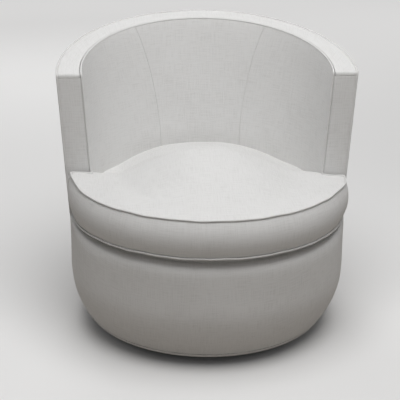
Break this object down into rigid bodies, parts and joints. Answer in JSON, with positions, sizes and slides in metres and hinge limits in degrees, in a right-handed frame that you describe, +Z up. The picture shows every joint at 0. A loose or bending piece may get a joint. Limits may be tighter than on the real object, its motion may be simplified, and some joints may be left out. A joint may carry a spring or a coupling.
{
  "type": "swivel tub chair",
  "caption": "Upholstered barrel swivel chair: round drum base, wrap-around piped tub back and loose crowned seat cushion, turning on a hidden ball-bearing plate and plinth.",
  "frame": {"origin": "on the floor under the swivel axis", "axes": "+Z up along the swivel axis, -Y out of the seat's front, +X to the right seen from the front"},
  "size_m": [0.7625, 0.753, 0.7463],
  "materials": {
    "linen": "matte",
    "linen_piping": "matte",
    "deck_cloth": "matte",
    "wadding": "matte",
    "foam": "matte",
    "fibre_board": "matte",
    "plywood": "matte",
    "hardwood": "matte",
    "black_plinth": "satin",
    "webbing": "matte",
    "dust_cloth": "matte",
    "pressed_steel": "satin",
    "bearing_steel": "polished",
    "fastener_steel": "satin",
    "nylon": "satin",
    "zip": "matte"
  },
  "bodies": {
    "floor_base": {"plinth": "black_plinth", "floor_glides": "nylon", "lower_swivel_plate": "pressed_steel", "swivel_rivet": "bearing_steel", "lower_plate_screws": "fastener_steel"},
    "ball_cage": {"ball_cage": "pressed_steel", "bearing_balls": "bearing_steel"},
    "cushion": {"cushion_bottom_panel": "linen", "cushion_boxing": "linen", "cushion_top_panel": "linen", "cushion_top_piping": "linen_piping", "cushion_bottom_piping": "linen_piping", "cushion_wrap": "wadding", "cushion_core": "foam", "cushion_zip": "zip"},
    "chair": {"base_front_cover": "linen", "base_hem": "linen", "outside_back_cover": "linen", "inside_back_panel_left": "linen", "inside_back_panel_centre": "linen", "inside_back_panel_right": "linen", "top_band": "linen", "arm_front_panel_left": "linen", "arm_front_panel_right": "linen", "inner_rim_piping": "linen_piping", "outer_rim_piping": "linen_piping", "arm_piping_left": "linen_piping", "arm_piping_right": "linen_piping", "arm_outer_piping_left": "linen_piping", "arm_outer_piping_right": "linen_piping", "deck_cover": "deck_cloth", "base_wadding": "wadding", "outside_back_wadding": "wadding", "top_wadding": "wadding", "arm_wadding_left": "wadding", "arm_wadding_right": "wadding", "front_edge_roll": "wadding", "inside_back_foam": "foam", "deck_pad": "foam", "base_board": "fibre_board", "outside_back_board": "fibre_board", "inside_back_board": "fibre_board", "bottom_ring": "plywood", "base_ribs": "plywood", "seat_ring": "plywood", "arm_post_left": "plywood", "arm_post_right": "plywood", "back_formers": "plywood", "top_rail": "plywood", "swivel_rail_front": "hardwood", "swivel_rail_rear": "hardwood", "seat_webbing_lengthwise": "webbing", "seat_webbing_crosswise": "webbing", "dust_cover": "dust_cloth", "upper_swivel_plate": "pressed_steel", "upper_plate_bolts": "fastener_steel", "upper_plate_nuts": "fastener_steel"}
  },
  "joints": [
    {"name": "swivel", "type": "hinge", "parent": "floor_base", "child": "chair", "pos_m": [0, 0, 0.034], "axis": [0, 0, 1], "continuous": true},
    {"name": "cage_roll", "type": "hinge", "parent": "floor_base", "child": "ball_cage", "pos_m": [0, 0, 0.034], "axis": [0, 0, 1], "continuous": true},
    {"name": "cushion_lift", "type": "slide", "parent": "chair", "child": "cushion", "axis": [0, 0, 1], "range_m": [0, 0.45]}
  ],
  "couplings": [
    {"joint": "cage_roll", "follows": "swivel", "ratio": 0.5}
  ]
}
